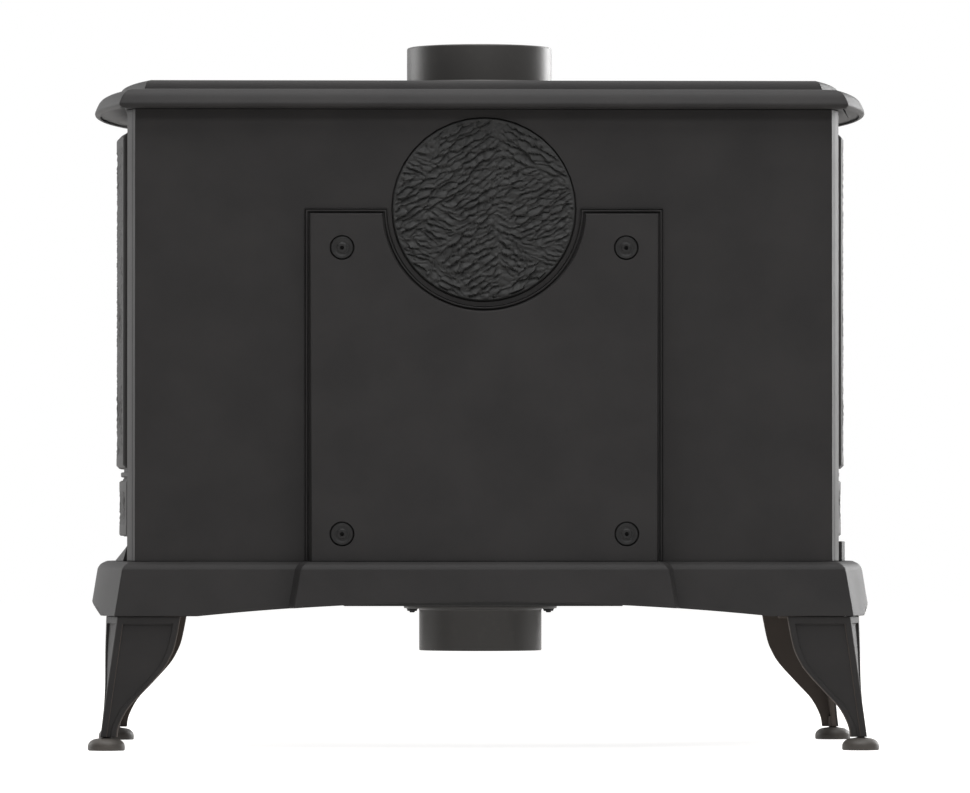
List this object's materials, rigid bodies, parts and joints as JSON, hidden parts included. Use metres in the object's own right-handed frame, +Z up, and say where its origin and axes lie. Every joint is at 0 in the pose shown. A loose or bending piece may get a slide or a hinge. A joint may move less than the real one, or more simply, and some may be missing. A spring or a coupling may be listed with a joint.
{
  "type": "free-standing wood stove",
  "caption": "Cast-iron free-standing wood stove on cabriole legs, with a bowed top, top and rear flue outlets, a glazed fire door, an ash drawer and air controls.",
  "frame": {"origin": "on the floor, at the middle of the box round the whole stove", "axes": "+X along the width, with the door handle's side positive; +Y from the fire door to the rear; +Z up"},
  "size_m": [0.793, 0.4912, 0.7145],
  "materials": {
    "cast_paint": "matt charcoal stove paint on cast iron",
    "rough_cast": "coarse as-cast skin under matt paint",
    "bare_cast": "bare cast iron, dull",
    "foot_iron": "dull dark iron",
    "sheet_steel": "matt black paint on sheet steel",
    "black_steel": "blackened steel, satin",
    "flue_steel": "grey-black heat-proof paint, satin",
    "ceramic_glass": "clear ceramic glass, faintly smoked",
    "rope": "braided glass-fibre rope",
    "vermiculite": "pressed vermiculite board, matt"
  },
  "bodies": {
    "stove_body": {"plinth_frame": "cast_paint", "bottom_plate": "sheet_steel", "side_wall_right": "cast_paint", "side_wall_left": "cast_paint", "rear_wall": "cast_paint", "front_frame": "cast_paint", "top_plate": "cast_paint", "flue_collar": "flue_steel", "outlet_cover": "rough_cast", "outlet_clamp_bar": "black_steel", "outlet_clamp_bolt": "black_steel", "heat_shield": "cast_paint", "air_box": "sheet_steel", "inlet_spigot": "flue_steel", "firebox_floor": "bare_cast", "grate": "bare_cast", "liner_rear": "vermiculite", "liner_right": "vermiculite", "liner_left": "vermiculite", "baffle": "vermiculite", "log_guard": "black_steel", "hinge_pin_lower": "black_steel", "hinge_pin_upper": "black_steel", "door_keeper": "black_steel", "leg_rear_right": "cast_paint", "foot_rear_right": "foot_iron", "leg_rear_left": "cast_paint", "foot_rear_left": "foot_iron", "leg_front_right": "cast_paint", "foot_front_right": "foot_iron", "leg_front_left": "cast_paint", "foot_front_left": "foot_iron", "collar_screw_1": "black_steel", "collar_screw_2": "black_steel", "collar_screw_3": "black_steel", "shield_screw_low_left": "black_steel", "shield_screw_low_right": "black_steel", "shield_screw_high_left": "black_steel", "shield_screw_high_right": "black_steel", "inlet_bolt_left": "black_steel", "inlet_bolt_right": "black_steel"},
    "fire_door": {"door_frame": "cast_paint", "door_rope": "rope", "door_glass": "ceramic_glass", "glass_clip_top": "black_steel", "glass_clip_bottom": "black_steel", "glass_clip_left": "black_steel", "glass_clip_right": "black_steel"},
    "door_handle": {"handle_spindle": "black_steel", "handle_grip": "black_steel"},
    "ash_drawer_body": {"ash_drawer": "cast_paint", "ash_drawer_knob": "black_steel"},
    "air_damper_body": {"air_damper": "sheet_steel", "air_control_knob": "black_steel"},
    "airwash_body": {"airwash_slide": "sheet_steel", "airwash_knob": "black_steel"}
  },
  "joints": [
    {"name": "door_hinge", "type": "hinge", "parent": "stove_body", "child": "fire_door", "pos_m": [-0.296, -0.209, 0.445], "axis": [0, 0, -1], "range_deg": [0, 105]},
    {"name": "handle_turn", "type": "hinge", "parent": "fire_door", "child": "door_handle", "pos_m": [0.292, -0.213, 0.445], "axis": [0, 1, 0], "range_deg": [0, 90]},
    {"name": "ash_drawer_slide", "type": "slide", "parent": "stove_body", "child": "ash_drawer_body", "axis": [0, -1, 0], "range_m": [0, 0.24]},
    {"name": "air_damper_slide", "type": "slide", "parent": "stove_body", "child": "air_damper_body", "axis": [0, -1, 0], "range_m": [0, 0.045]},
    {"name": "airwash_slide_joint", "type": "slide", "parent": "stove_body", "child": "airwash_body", "axis": [1, 0, 0], "range_m": [-0.02, 0.02]}
  ]
}
